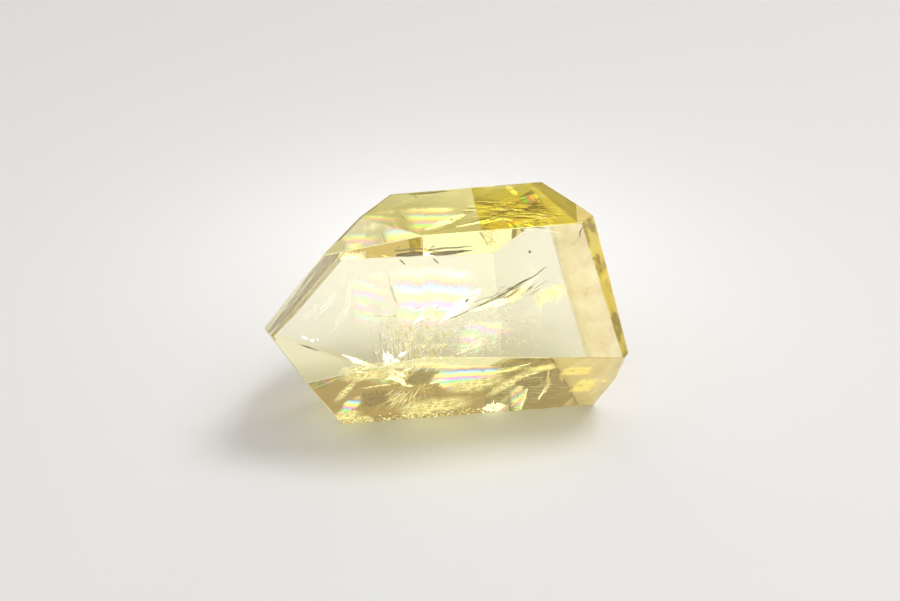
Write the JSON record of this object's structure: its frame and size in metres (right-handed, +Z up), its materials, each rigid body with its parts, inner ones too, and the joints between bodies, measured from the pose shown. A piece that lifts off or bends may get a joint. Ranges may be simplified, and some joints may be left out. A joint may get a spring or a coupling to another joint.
{
  "type": "citrine crystal point",
  "caption": "Pale citrine quartz point, cut and polished with a sawn base bevelled along its back edge, lying on one prism face.",
  "frame": {"origin": "on the surface that the crystal lies on, under the middle of its bounding box", "axes": "+X along the crystal from its tip to its sawn base, -Y towards its broad front face, +Z up"},
  "size_m": [0.0511, 0.037, 0.0338],
  "materials": {
    "citrine": "polished clear pale yellow quartz with healed fractures inside"
  },
  "bodies": {
    "root": {"crystal_point": "citrine"}
  },
  "joints": []
}
